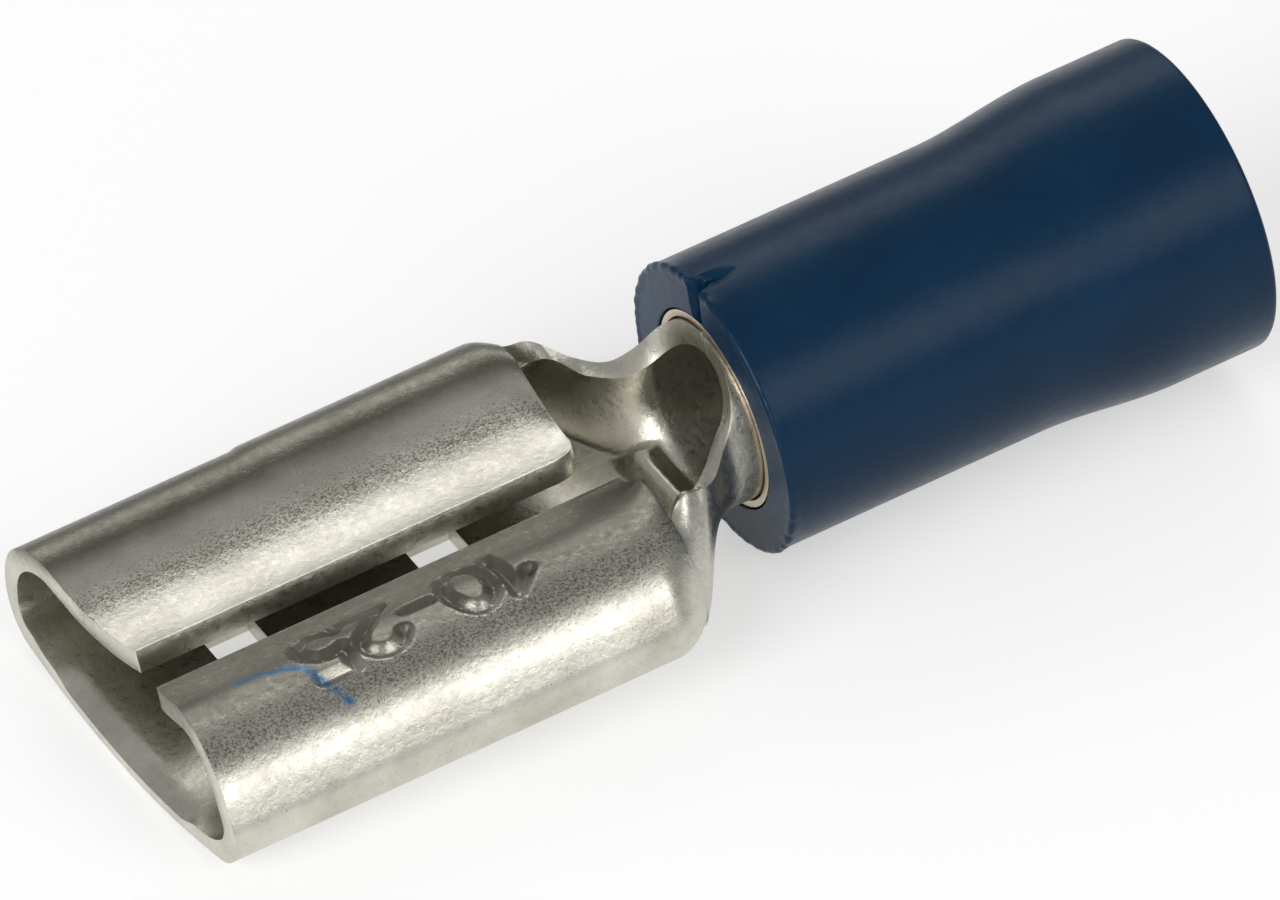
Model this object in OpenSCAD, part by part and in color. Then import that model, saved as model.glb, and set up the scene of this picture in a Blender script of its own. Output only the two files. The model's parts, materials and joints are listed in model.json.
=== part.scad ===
// Insulated female spade terminal for a blade tab: one folded and rolled sheet terminal,
// a thin metal support sleeve round its crimp barrel, and a moulded insulating sleeve.
// The origin is on the wire axis at the barrel's front end. +X runs towards the wire entry,
// and +Z points to the open side of the receptacle.

/* [Sheet] */
// Thickness of the tinned sheet
sheet_t = 0.4; // [0.35:0.01:0.45]

/* [Receptacle] */
// Length from the mouth to the rear edges of the wings
receptacle_l = 8.9; // [8.4:0.1:10]
// Radius of the bowed front edge of the blank
mouth_bow_r = 58; // [50:1:200]
// Distance between the two lips
lip_gap = 1; // [0.8:0.05:1.3]
// Radius on the rear corner of the left lip
lip_corner_r = 0.45; // [0.1:0.05:0.6]
// How far ahead of its root the rear end of the left lip is sheared off
lip_slant = 0.15; // [0:0.01:0.2]

/* [Left wing] */
// Distance from the middle of the lip gap to the outside of the wing
left_w = 4.16; // [4:0.02:4.3]
// Radius of the slight bow of this half of the floor
left_bow_r = 42; // [36:1:80]
// Height left for the tab between the floor and this lip
left_gap = 0.84; // [0.82:0.01:0.9]
// How far ahead of the wing's rear edge it starts to narrow
left_lead = 0.45; // [0.35:0.05:0.7]
// Outer radius of the bend from the floor
left_corner_r = 0.78; // [0.72:0.02:0.84]
// Heading of the sheet after that bend
left_corner_a = 88; // [84:1:92]
// Outer radius of the crown
left_crown_r = 1; // [0.94:0.02:1.04]
// Heading of the sheet after the crown
left_roll_a = 202; // [200:1:204]
// Radius of the reversed bend at the lip
left_lip_r = 3.6; // [3.3:0.1:3.8]
// Angle of the reversed bend
left_lip_a = 34; // [32:1:36]

/* [Right wing] */
// Distance from the middle of the lip gap to the outside of the wing
right_w = 3.66; // [3.5:0.02:3.9]
// Radius of the slight bow of this half of the floor
right_bow_r = 19; // [17:0.5:40]
// Height left for the tab between the floor and this lip
right_gap = 0.96; // [0.88:0.01:1]
// How far ahead of the wing's rear edge it starts to narrow
right_lead = 0.75; // [0.4:0.05:0.8]
// Outer radius of the bend from the floor
right_corner_r = 0.64; // [0.6:0.02:0.7]
// Heading of the sheet after that bend
right_corner_a = 118; // [115:1:121]
// Outer radius of the crown
right_crown_r = 1.54; // [1.48:0.02:1.6]
// Heading of the sheet after the crown
right_roll_a = 204; // [202:1:208]
// Radius of the reversed bend at the lip
right_lip_r = 1.5; // [1.2:0.1:1.8]
// Angle of the reversed bend
right_lip_a = 14; // [10:1:18]

/* [Floor windows] */
// Length of each window along the receptacle
window_l = 0.9; // [0.6:0.05:1.2]
// Width of each window across the floor
window_w = 3.4; // [2.4:0.1:3.6]
// Distance from the mouth to the front edge of the first window
window_x = 2.25; // [1.8:0.05:2.5]
// Distance between the two windows' front edges
window_pitch = 3.65; // [3:0.05:3.9]

/* [Lead-in] */
// Length of the coined ramp on the floor
ramp_l = 1; // [0.6:0.05:1.4]
// Drop of the ramp at the front edge
ramp_drop = 0.1; // [0.05:0.01:0.14]
// Width of the ramp
ramp_w = 5.6; // [4:0.1:5.8]
// Length of the steep bevel at the very front
bevel_l = 0.3; // [0.15:0.05:0.5]
// Further drop of the bevel
bevel_drop = 0.12; // [0.05:0.01:0.16]
// Width of the bevel
bevel_w = 3.8; // [3.7:0.1:4.4]

/* [Neck] */
// Length from the wings' rear edges to the barrel
neck_l = 2; // [1.8:0.05:2.4]
// Distance from the barrel at which the trough reaches the barrel's width
neck_round = 0.4; // [0.3:0.05:0.6]
// Half the width of the flat blank at the neck's waist
waist_half = 2.95; // [2.7:0.05:3.2]
// Distance from the barrel to the waist
waist_x = 0.75; // [0.6:0.05:0.9]
// Height of the stop rib above the floor
rib_h = 0.26; // [0.15:0.01:0.32]
// Distance from the barrel to the stop rib
rib_x = 1; // [0.9:0.05:1.1]
// Width of the stop rib along the neck
rib_w = 0.5; // [0.3:0.05:0.6]
// Half the length of the stop rib across the neck
rib_half = 1; // [0.6:0.05:1.1]

/* [Barrel] */
// Radius of the wire bore
bore_r = 1.15; // [1.1:0.01:1.25]
// Length of the barrel
barrel_l = 5.1; // [4.6:0.1:5.4]
// Gap left at the barrel's butt seam
seam_gap = 0.08; // [0.04:0.01:0.16]
// Height of the wire axis above the underside of the floor
axis_h = 1.8; // [1.7:0.05:2]

/* [Support sleeve] */
// Wall of the support sleeve
support_t = 0.13; // [0.1:0.01:0.16]
// Running gap between the pieces that slide over each other
slide_gap = 0.03; // [0.02:0.01:0.05]
// Set-back of its front edge from the barrel's front end
support_x = 0.02; // [0:0.02:0.2]
// Distance from the barrel's rear end to the start of the cone
cone_gap = 0.37; // [0.2:0.01:0.5]
// Length of the cone between its two widths
cone_l = 0.5; // [0.3:0.05:0.7]
// Step in radius from the narrow part to the wide part
support_step = 0.28; // [0.2:0.01:0.32]

/* [Insulating sleeve] */
// Outer radius of the straight part
sleeve_r = 2.48; // [2.4:0.01:2.6]
// Outer radius at the wire entry
flare_r = 2.68; // [2.62:0.01:2.9]
// Set-back of the front face from the barrel's front end
sleeve_x = 0; // [0:0.01:0.2]
// Length of the sleeve
sleeve_l = 8.83; // [8.6:0.01:9.4]
// Length of the straight part ahead of the flare
straight_l = 4.85; // [4.4:0.05:5]
// Length of the flare
flare_l = 2.4; // [2:0.1:2.8]
// Radius of the wire entry
entry_r = 2.3; // [2.24:0.01:2.36]
// Length of the straight wire entry
entry_l = 1.35; // [1:0.05:1.6]
// Radius on the outer rim of the front face
rim_r = 0.08; // [0.04:0.01:0.15]

/* [Hidden] */

// ---------------------------------------------------------------- derived sizes
barrel_r = bore_r + sheet_t;
wing_x = -neck_l;
mouth_x = wing_x - receptacle_l;
floor_z = -axis_h;
support_r = barrel_r + slide_gap;
wide_r = support_r + support_step;
cone_x = barrel_l + cone_gap;
wide_x = cone_x + cone_l;
end_x = sleeve_x + sleeve_l;
shoulder_x = end_x - entry_l;
overlap = 0.1;
inset = 0.012;
squeeze_w = 1.6;
rib_fade = 0.35;
// Part of the neck over which the crowns unroll
unroll_l = neck_l / 3;
// Just below 1, so that a bend opened flat keeps a finite radius
nearly = 0.999;
arc_fn = 96;

// ---------------------------------------------------------------- grid of the blank
// Columns on each side of the centre line, segment by segment
floor_n = 6;
corner_n = 10;
side_n = 1;
crown_n = 9;
slope_n = 1;
lip_n = 8;
// Floor columns within half a window
window_n = 2;
// Columns of the crown that go on into the neck
shoulder_n = 4;
// Columns that go on into the neck, and all columns of one wing
neck_n = floor_n + corner_n + side_n + shoulder_n;
wing_n = neck_n - shoulder_n + crown_n + slope_n + lip_n;
// Stations along the taper, ahead of the rib, over the rib and behind it
taper_n = 5;
taper_l = max(left_lead, right_lead);
shoulder_steps = 5;
rib_steps = 6;
throat_steps = 8;
rib_front = -rib_x - rib_w / 2;
rib_back = -rib_x + rib_w / 2;
front_stations = [
    for (d = [0, bevel_l, ramp_l, window_x, window_x + window_l,
              window_x + window_pitch, window_x + window_pitch + window_l])
        mouth_x + d];
stations = concat(
    front_stations,
    [for (i = [0:taper_n]) wing_x - taper_l * (1 - i / taper_n)],
    [for (i = [1:shoulder_steps]) mix(wing_x, rib_front, i / shoulder_steps)],
    [for (i = [1:rib_steps]) mix(rib_front, rib_back, i / rib_steps)],
    [for (i = [1:throat_steps]) mix(rib_back, 0, sin(90 * i / throat_steps))],
    [overlap]);
wing_end = len(front_stations) + taper_n;
last = len(stations) - 1;
// Cells along the receptacle that the windows leave open
window_cells = [3, 5];

// ---------------------------------------------------------------- fold of one cross-section
// Each wing: [corner radius, corner heading, crown radius, roll heading, lip radius,
// lip angle, half width, bow radius, tab gap, lead of the narrowing]
LEFT = [left_corner_r, left_corner_a, left_crown_r, left_roll_a, left_lip_r, left_lip_a,
        left_w, left_bow_r, left_gap, left_lead];
RIGHT = [right_corner_r, right_corner_a, right_crown_r, right_roll_a, right_lip_r,
         right_lip_a, right_w, right_bow_r, right_gap, right_lead];

function mix(a, b, u) = a + (b - a) * u;
function ease(u) = let (v = min(1, max(0, u))) v * v * (3 - 2 * v);
function heading(a) = [cos(a), sin(a)];
function leftward(a) = [-sin(a), cos(a)];
function arc_len(r, a) = r * a * PI / 180;

// 0 on the receptacle, 1 where the trough is as narrow and as round as the barrel
function narrowing(w, x) =
    let (taper_x = wing_x - w[9]) ease((x - taper_x) / (-neck_round - taper_x));
function rounding(x) = ease((x - wing_x) / (-neck_round - wing_x));
function body_half(w, x) = mix(w[6], barrel_r - inset, narrowing(w, x));
function body_z(x) = floor_z + (axis_h - barrel_r + inset) * rounding(x);
function sheet(x) = sheet_t - 2 * inset * rounding(x);
function corner_r(w, x) = mix(w[0], barrel_r - inset, rounding(x));
function corner_a(w, x) = mix(w[1], 180, pow(rounding(x), 2));
function bow_r(w, x) = w[7] / (1 - nearly * rounding(x));
function floor_half(w, x) =
    (body_half(w, x) - corner_r(w, x)) / (1 - corner_r(w, x) / bow_r(w, x));
function bow_a(w, x) = asin(floor_half(w, x) / bow_r(w, x));

// Centre of the lip's reversed bend, from the gap between the lips and the tab's height
function lip_centre(w) =
    let (end_a = w[3] - w[5])
    [lip_gap / 2 + w[4] * sin(end_a),
     sheet_t + w[8] + (w[4] + sheet_t) * cos(max(0, end_a - 180))];

// The straight lengths of side and slope that join floor, crown and lip
function straights(w) =
    let (a = w[1], b = w[3], r = w[0], f = bow_a(w, mouth_x),
         start = [floor_half(w, mouth_x), w[7] * (1 - cos(f))]
                 + r * leftward(f) - r * leftward(a),
         goal = lip_centre(w) + w[4] * leftward(b),
         d = goal + w[2] * leftward(b) - w[2] * leftward(a) - start,
         det = cos(a) * sin(b) - sin(a) * cos(b))
    [(d[0] * sin(b) - d[1] * cos(b)) / det, (cos(a) * d[1] - sin(a) * d[0]) / det];

// Segments of a section as [length, radius]; radius 0 is straight, below 0 reversed
function wing_path(w) =
    let (s = straights(w), f = bow_a(w, mouth_x))
    [[arc_len(w[7], f), w[7]],
     [arc_len(w[0], w[1] - f), w[0]],
     [s[0], 0],
     [arc_len(w[2], w[3] - w[1]), w[2]],
     [s[1], 0],
     [arc_len(w[4], w[5]), -w[4]]];
// In the neck the side shortens as the corner grows, and the crown unrolls
function neck_path(w, x) =
    let (f = bow_a(w, x), unroll = ease((x - wing_x) / unroll_l))
    [[arc_len(bow_r(w, x), f), bow_r(w, x)],
     [arc_len(corner_r(w, x), corner_a(w, x) - f), corner_r(w, x)],
     [straights(w)[0] * (1 - rounding(x)), 0],
     [barrel_r, w[2] / (1 - nearly * unroll)]];

// Walks a path for a length s: [y, z, heading]
function step(p, len, r) = r == 0
    ? concat([for (i = [0:1]) p[i] + len * heading(p[2])[i]], [p[2]])
    : let (b = p[2] + len / r * 180 / PI)
      concat([for (i = [0:1]) p[i] + r * (leftward(p[2])[i] - leftward(b)[i])], [b]);
function walk(path, s, i = 0, p = [0, 0, 0]) =
    let (len = path[i][0])
    s <= len || i == len(path) - 1 ? step(p, s, path[i][1])
                                   : walk(path, s - len, i + 1, step(p, len, path[i][1]));
function total(path, n) = n == 0 ? 0 : path[n - 1][0] + total(path, n - 1);

// Developed distance of column k from the centre line
counts = [floor_n, corner_n, side_n, crown_n, slope_n, lip_n];
lip_segment = len(counts) - 1;
function segment_of(k, i = 0) = k <= counts[i] || i == lip_segment
    ? [i, k / counts[i]] : segment_of(k - counts[i], i + 1);
function floor_column(k, half) = k <= window_n
    ? window_w / 2 * k / window_n
    : mix(window_w / 2, half, (k - window_n) / (floor_n - window_n));
function wing_s(path, k) = k <= floor_n
    ? floor_column(k, path[0][0])
    : let (g = segment_of(k), u = g[0] == lip_segment ? sin(90 * g[1]) : g[1])
      total(path, g[0]) + u * path[g[0]][0];

// Inward shift that narrows the body ahead of the neck and leaves the lips where they are
function squeeze(w, x, y) = (w[6] - body_half(w, x)) * ease((y - lip_gap / 2) / squeeze_w);

// Developed distances in the neck, from the squeezed ones at the wings' rear edges
function root_s(w, k) = let (s = wing_s(wing_path(w), k)) s - squeeze(w, wing_x, s);
function neck_half(w, x) =
    let (closed = PI * (barrel_r - inset) - seam_gap / 2 - inset,
         v = min(1, (x + waist_x) / waist_x))
    x < -waist_x
        ? mix(root_s(w, neck_n), waist_half, ease((x - wing_x) / (neck_l - waist_x)))
        : mix(waist_half, closed, 1 - sqrt(1 - v * v));
function neck_s(w, x, k) =
    let (u = ease((x - wing_x) / neck_l))
    neck_half(w, x) * mix(root_s(w, k) / root_s(w, neck_n), k / neck_n, u);

// Shift of a point along the blank: the bowed mouth, and the left lip's slanted rear edge
// with its rounded corner
function set_back(s) = mouth_bow_r - sqrt(pow(mouth_bow_r, 2) - s * s);
function corner_cut(d) = d >= lip_corner_r ? 0
    : lip_corner_r - sqrt(pow(lip_corner_r, 2) - pow(lip_corner_r - d, 2));
function trim(w, i, s, path) =
    let (side = total(path, 3), lip = total(path, lip_segment + 1))
    i == 0 ? set_back(s)
    : w == RIGHT ? 0
    : -(corner_cut(lip - s) + lip_slant * max(0, (s - side) / (lip - side)))
      * max(0, 1 - (wing_x - stations[i]) / (2 * lip_corner_r + lip_slant));

// Relief of the inner face: the coined lead-in at the mouth and the rib across the neck
function coined(x, s) =
    (2 * s < ramp_w ? ramp_drop * max(0, 1 - (x - mouth_x) / ramp_l) : 0)
    + (2 * s < bevel_w ? bevel_drop * max(0, 1 - (x - mouth_x) / bevel_l) : 0);
function rib(x, s) =
    let (v = min(1, abs(x + rib_x) * 2 / rib_w))
    rib_h * sqrt(1 - v * v) * (1 - ease((s - rib_half) / rib_fade));

// Point of column k (left wing above 0) at station i, lifted off the outer face by up
function blank_point(i, k, up) =
    let (w = k < 0 ? RIGHT : LEFT, side = k < 0 ? -1 : 1, n = abs(k), x = stations[i],
         in_neck = i > wing_end,
         path = in_neck ? neck_path(w, x) : wing_path(w),
         s = in_neck ? neck_s(w, x, min(n, neck_n)) : wing_s(path, n),
         p = walk(path, s),
         t = sheet(x) - coined(x, s) + rib(x, s),
         q = [p[0], p[1]] + up * t * leftward(p[2]),
         y = in_neck ? q[0] : q[0] - squeeze(w, x, q[0]))
    [x + (in_neck ? 0 : trim(w, i, s, path)), side * y, body_z(x) + q[1]];

// ---------------------------------------------------------------- blank as cells
columns = 2 * wing_n + 1;
function present(i, j) = i >= 0 && i < last && j >= 0 && j < columns - 1
    && (i < wing_end || (j >= wing_n - neck_n && j < wing_n + neck_n))
    && !(len(search(i, window_cells)) > 0 && j >= wing_n - window_n && j < wing_n + window_n);
function outer(i, j) = i * columns + j;
function inner(i, j) = outer(i, j) + (last + 1) * columns;
function tris(a, b, c, d) = [[a, c, b], [a, d, c]];
function wall(i, j, m, n) = tris(outer(i, j), inner(i, j), inner(m, n), outer(m, n));

module folded_sheet() {
    points = [for (up = [0, 1]) for (i = [0:last]) for (k = [-wing_n:wing_n])
        blank_point(i, k, up)];
    faces = [for (i = [0:last - 1]) for (j = [0:columns - 2]) if (present(i, j))
        for (f = concat(
            tris(outer(i, j), outer(i, j + 1), outer(i + 1, j + 1), outer(i + 1, j)),
            tris(inner(i, j), inner(i + 1, j), inner(i + 1, j + 1), inner(i, j + 1)),
            present(i - 1, j) ? [] : wall(i, j, i, j + 1),
            present(i + 1, j) ? [] : wall(i + 1, j + 1, i + 1, j),
            present(i, j - 1) ? [] : wall(i + 1, j, i, j),
            present(i, j + 1) ? [] : wall(i, j + 1, i + 1, j + 1))) f];
    polyhedron(points, faces);
}

// ---------------------------------------------------------------- terminal
module barrel() {
    rotate([0, 90, 0])
        difference() {
            cylinder(r = barrel_r, h = barrel_l, $fn = arc_fn);
            translate([0, 0, -overlap])
                cylinder(r = bore_r, h = barrel_l + 2 * overlap, $fn = arc_fn);
            translate([-2 * barrel_r, -seam_gap / 2, -overlap])
                cube([2 * barrel_r, seam_gap, barrel_l + 2 * overlap]);
        }
}

module terminal() {
    color([0.53, 0.52, 0.48]) {
        folded_sheet();
        barrel();
    }
}

// ---------------------------------------------------------------- sleeves
module support_sleeve() {
    back_x = shoulder_x - slide_gap;
    color([0.6, 0.53, 0.45])
        rotate([0, 90, 0])
            rotate_extrude($fn = arc_fn)
                polygon([[support_r, support_x], [support_r + support_t, support_x],
                         [support_r + support_t, cone_x], [wide_r + support_t, wide_x],
                         [wide_r + support_t, back_x], [wide_r, back_x],
                         [wide_r, wide_x], [support_r, cone_x]]);
}

// Outer profile of the sleeve: rounded front rim, straight part, flare and entry
module insulating_sleeve() {
    room = support_t + slide_gap;
    flare_x = sleeve_x + straight_l;
    flare_n = 12;
    rim_n = 4;
    rim = [for (i = [0:rim_n])
        [sleeve_r - rim_r * (1 - sin(90 * i / rim_n)),
         sleeve_x + rim_r * (1 - cos(90 * i / rim_n))]];
    flare = [for (i = [0:flare_n])
        [mix(sleeve_r, flare_r, ease(i / flare_n)), flare_x + flare_l * i / flare_n]];
    bore = [[entry_r, end_x], [entry_r, shoulder_x], [wide_r + room, shoulder_x],
            [wide_r + room, wide_x], [support_r + room, cone_x], [support_r + room, sleeve_x]];
    color([0.06, 0.2, 0.32])
        rotate([0, 90, 0])
            rotate_extrude($fn = arc_fn)
                polygon(concat(rim, flare, [[flare_r, end_x]], bore));
}

terminal();
support_sleeve();
insulating_sleeve();
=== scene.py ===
# %% [markdown]
# # An insulated female spade terminal
# The terminal is pushed over a flat tab, and its barrel is crimped on a wire. It has three
# pieces: one tinned sheet that is folded into a receptacle and rolled into a barrel, a thin
# metal tube round that barrel, and a blue vinyl sleeve. Each piece is worked out in millimetres
# and scaled to metres when it is finished, because modifiers work best near unit size.

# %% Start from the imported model
import json
import math
from types import SimpleNamespace

import bmesh
import bpy
import numpy as np
from mathutils import Matrix, Vector, noise


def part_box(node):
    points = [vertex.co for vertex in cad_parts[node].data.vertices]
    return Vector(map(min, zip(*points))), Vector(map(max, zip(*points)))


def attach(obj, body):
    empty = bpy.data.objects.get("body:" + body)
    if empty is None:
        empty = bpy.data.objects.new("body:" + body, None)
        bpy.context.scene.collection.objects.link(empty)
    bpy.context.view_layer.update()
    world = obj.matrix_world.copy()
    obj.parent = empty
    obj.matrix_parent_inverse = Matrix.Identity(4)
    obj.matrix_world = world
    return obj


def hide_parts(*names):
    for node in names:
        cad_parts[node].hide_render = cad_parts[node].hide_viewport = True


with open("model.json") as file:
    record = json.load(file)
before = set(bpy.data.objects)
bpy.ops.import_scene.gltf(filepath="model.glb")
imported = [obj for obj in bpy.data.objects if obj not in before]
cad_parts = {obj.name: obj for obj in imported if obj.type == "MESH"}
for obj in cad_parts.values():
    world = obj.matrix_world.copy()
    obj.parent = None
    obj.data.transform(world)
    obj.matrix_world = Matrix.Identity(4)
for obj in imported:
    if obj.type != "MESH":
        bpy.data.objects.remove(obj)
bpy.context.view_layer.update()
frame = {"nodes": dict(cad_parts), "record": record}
MM = 0.001
print("nodes", sorted(frame["nodes"]))

# %% [markdown]
# ## Sizes
# Lengths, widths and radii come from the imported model's boxes and mounts, so the looks always
# fit the solids. The rest are the folds of the sheet, named once here.

# %% Sizes of the sheet terminal
mounts = {m["name"]: m for m in frame["record"]["mounts"]}
sheet_lo, sheet_hi = [np.array(c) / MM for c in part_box("terminal")]
SHEET_T = 0.4
BORE_R = mounts["wire_bore"]["dims"]["r_mm"]
BARREL_R = BORE_R + SHEET_T
BARREL_L = sheet_hi[0]
MOUTH_X = sheet_lo[0]
AXIS_H = -sheet_lo[2]
NECK_L = 2.0
WING_X = -NECK_L
NECK_ROUND = 0.4
WAIST_X = 0.75
WAIST_HALF = 2.95
MOUTH_BOW_R = 58.0
LIP_GAP = 1.0
LIP_CORNER_R = 0.45
LIP_SLANT = 0.15
SQUEEZE_W = 1.6
SEAM_GAP = 0.08
SLIDE_GAP = 0.03
# A bend that has opened this far is flat, and its radius is still a number
NEARLY = 0.999
LEFT = SimpleNamespace(side=1, half=sheet_hi[1], bow_r=42.0, gap=0.84, lead=0.45,
                       corner_r=0.78, corner_a=math.radians(88), crown_r=1.0,
                       roll_a=math.radians(202), lip_r=3.6, lip_a=math.radians(34))
RIGHT = SimpleNamespace(side=-1, half=-sheet_lo[1], bow_r=19.0, gap=0.96, lead=0.75,
                        corner_r=0.64, corner_a=math.radians(118), crown_r=1.54,
                        roll_a=math.radians(204), lip_r=1.5, lip_a=math.radians(14))
print("barrel radius", BARREL_R, "mouth", round(MOUTH_X, 3), "wings", LEFT.half, RIGHT.half)

# %% [markdown]
# ## How the sheet is folded
# A press folds a flat blank: floor, bend, side, crown and a reversed bend at the lip. A turtle
# does the same on paper. It walks a developed distance `s` along a path of straight lengths and
# arcs, and gives the point and the heading there, so a detail can be placed on the flat blank
# and lands in the right place on the fold.

# %% Walk along a folded section
def ease(u):
    u = np.clip(u, 0, 1)
    return u * u * (3 - 2 * u)


def mix(a, b, u):
    return a + (b - a) * u


def heading(a):
    return np.stack([np.cos(a), np.sin(a)], -1)


def leftward(a):
    return np.stack([-np.sin(a), np.cos(a)], -1)


def walk(path, s):
    """Points (y, z) and headings at the distances s along [(length, radius), ...]."""
    s = np.asarray(s, float)
    points, angles = np.zeros(s.shape + (2,)), np.zeros(s.shape)
    place, angle, start = np.zeros(2), 0.0, 0.0
    for i, (length, radius) in enumerate(path):
        here = s >= start - 1e-9
        run = s[here] - start if i == len(path) - 1 else np.minimum(s[here] - start, length)
        turn = run * 0 if radius == 0 else run / radius
        if radius == 0:
            points[here] = place + run[:, None] * heading(angle)
        else:
            points[here] = place + radius * (leftward(angle) - leftward(angle + turn))
        angles[here] = angle + turn
        end = length / radius if radius else 0.0
        place = place + (length * heading(angle) if radius == 0
                         else radius * (leftward(angle) - leftward(angle + end)))
        angle, start = angle + end, start + length
    return points, angles


print("a quarter turn of radius 2 ends at", walk([(math.pi, 2.0)], [math.pi])[0][0].round(3))

# %% Sections of the receptacle
def floor_half(wing, x):
    return (body_half(wing, x) - corner_r(wing, x)) / (1 - corner_r(wing, x) / bow_r(wing, x))


def narrowing(wing, x):
    start = WING_X - wing.lead
    return ease((x - start) / (-NECK_ROUND - start))


def rounding(x):
    return ease((x - WING_X) / (-NECK_ROUND - WING_X))


def body_half(wing, x):
    return mix(wing.half, BARREL_R, narrowing(wing, x))


def body_z(x):
    return -AXIS_H + (AXIS_H - BARREL_R) * rounding(x)


def corner_r(wing, x):
    u = rounding(x)
    return mix(wing.corner_r, BARREL_R, u * (2 - u))


def bow_r(wing, x):
    return wing.bow_r / (1 - NEARLY * rounding(x))


def wing_path(wing):
    bow = math.asin(floor_half(wing, MOUTH_X) / wing.bow_r)
    end = wing.roll_a - wing.lip_a
    lip = np.array([LIP_GAP / 2 + wing.lip_r * math.sin(end),
                    SHEET_T + wing.gap + (wing.lip_r + SHEET_T) * math.cos(max(0, end - math.pi))])
    start = (np.array([floor_half(wing, MOUTH_X), wing.bow_r * (1 - math.cos(bow))])
             + wing.corner_r * (leftward(bow) - leftward(wing.corner_a)))
    goal = lip + (wing.lip_r + wing.crown_r) * leftward(wing.roll_a)
    gap = goal - wing.crown_r * leftward(wing.corner_a) - start
    side, slope = np.linalg.solve(np.stack([heading(wing.corner_a), heading(wing.roll_a)], 1), gap)
    return [(wing.bow_r * bow, wing.bow_r),
            (wing.corner_r * (wing.corner_a - bow), wing.corner_r),
            (side, 0),
            (wing.crown_r * (wing.roll_a - wing.corner_a), wing.crown_r),
            (slope, 0),
            (wing.lip_r * wing.lip_a, -wing.lip_r)]


for wing in (LEFT, RIGHT):
    wing.path = wing_path(wing)
    wing.length = sum(length for length, radius in wing.path)
    print("wing", wing.side, "developed length", round(wing.length, 3))

# %% [markdown]
# ## Columns and stations of the blank
# The blank is meshed as a grid: columns run along the terminal and stations run across it. An
# even grid fine enough for the stamped figures would pass the limit on triangles. So the lines
# lie close where a bend or a stamped mark needs them, and wide apart elsewhere.

# %% Columns across each wing
WINDOW_W = 3.4
# Share of the crown's bend, from the side up, whose columns run on into the neck
SHOULDER = 4 / 9
# Stretches of the right wing, as developed distances, for the figures and for a blue smear
STAMP_S = (5.75, 7.35)
SMEAR_S = 5.35
FLOOR_STEP = 0.3
FLOOR_EDGE_STEP = 0.14
PLAIN_STEP = 0.12
BEND_STEP = 0.09
CORNER_STEP = 0.05
SMEAR_STEP = 0.04
STAMP_STEP = 0.038


def spread(start, stretches):
    """Values from the start through the end of each (end, step), no further apart than a step."""
    values = [start]
    for end, step in stretches:
        n = max(1, math.ceil((end - start) / step - 1e-6))
        values += [start + (end - start) * i / n for i in range(1, n + 1)]
        start = end
    return np.array(values)


def columns(wing):
    ends = np.cumsum([length for length, radius in wing.path])
    floor_end, side_end = ends[0], ends[2]
    wing.shoulder = side_end + SHOULDER * wing.path[3][0]
    stretches = [(WINDOW_W / 2, FLOOR_STEP), (floor_end, FLOOR_EDGE_STEP), (side_end, BEND_STEP)]
    if wing is RIGHT:
        stretches += [(SMEAR_S, PLAIN_STEP), (wing.shoulder, SMEAR_STEP),
                      (STAMP_S[1], STAMP_STEP), (wing.length, PLAIN_STEP)]
    else:
        stretches += [(wing.shoulder, PLAIN_STEP), (wing.length - LIP_CORNER_R, PLAIN_STEP),
                      (wing.length, CORNER_STEP)]
    values = spread(0, stretches)
    wing.neck_n = int(np.argmin(abs(values - wing.shoulder)))
    return values


for wing in (LEFT, RIGHT):
    wing.s = columns(wing)
    print("wing", wing.side, len(wing.s), "columns,", wing.neck_n, "of them go into the neck")

# %% Stations along the terminal
WINDOW_L = 0.9
WINDOW_PITCH = 3.65
FIRST_WINDOW = MOUTH_X + 2.25
WINDOWS = [FIRST_WINDOW, FIRST_WINDOW + WINDOW_PITCH]
STAMP_X = (MOUTH_X + 2.2, MOUTH_X + 6.6)
SMEAR_X = MOUTH_X + 1.2
# The left lip's rear edge is trimmed over this length
TRIM_L = 2 * LIP_CORNER_R + LIP_SLANT
MOUTH_EDGE_L = 0.1
MOUTH_STEP = 0.02
REAR_STEP = 0.06
NECK_N = 60
BARREL_N = 25
receptacle = spread(MOUTH_X, [
    (MOUTH_X + MOUTH_EDGE_L, MOUTH_STEP), (SMEAR_X, PLAIN_STEP), (STAMP_X[0], CORNER_STEP),
    (WINDOWS[0], SMEAR_STEP), (WINDOWS[0] + WINDOW_L, STAMP_STEP), (WINDOWS[1], STAMP_STEP),
    (STAMP_X[1], STAMP_STEP), (WINDOWS[1] + WINDOW_L, PLAIN_STEP), (WING_X - TRIM_L, PLAIN_STEP),
    (WING_X, REAR_STEP)])
wing_end = len(receptacle) - 1
neck_u = (1 - np.cos(np.linspace(0, math.pi, NECK_N + 1)[1:])) / 2
stations = np.concatenate([receptacle, WING_X * (1 - neck_u),
                           np.linspace(0, BARREL_L, BARREL_N + 1)[1:]])
print(len(stations), "stations, the receptacle ends at", wing_end)

# %% [markdown]
# ## The neck and the barrel
# Behind the wings the blank narrows to a waist and widens again to wrap round the wire. A loft
# from one outline to another would stretch the sheet. So its width is given as a developed half
# width, and the corner bend grows until it is the barrel.

# %% Sections of the neck
NECK_FILLET = 0.12
UNROLL_L = NECK_L / 3


def squeeze(wing, x, y):
    return (wing.half - body_half(wing, x)) * ease((y - LIP_GAP / 2) / SQUEEZE_W)


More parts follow.
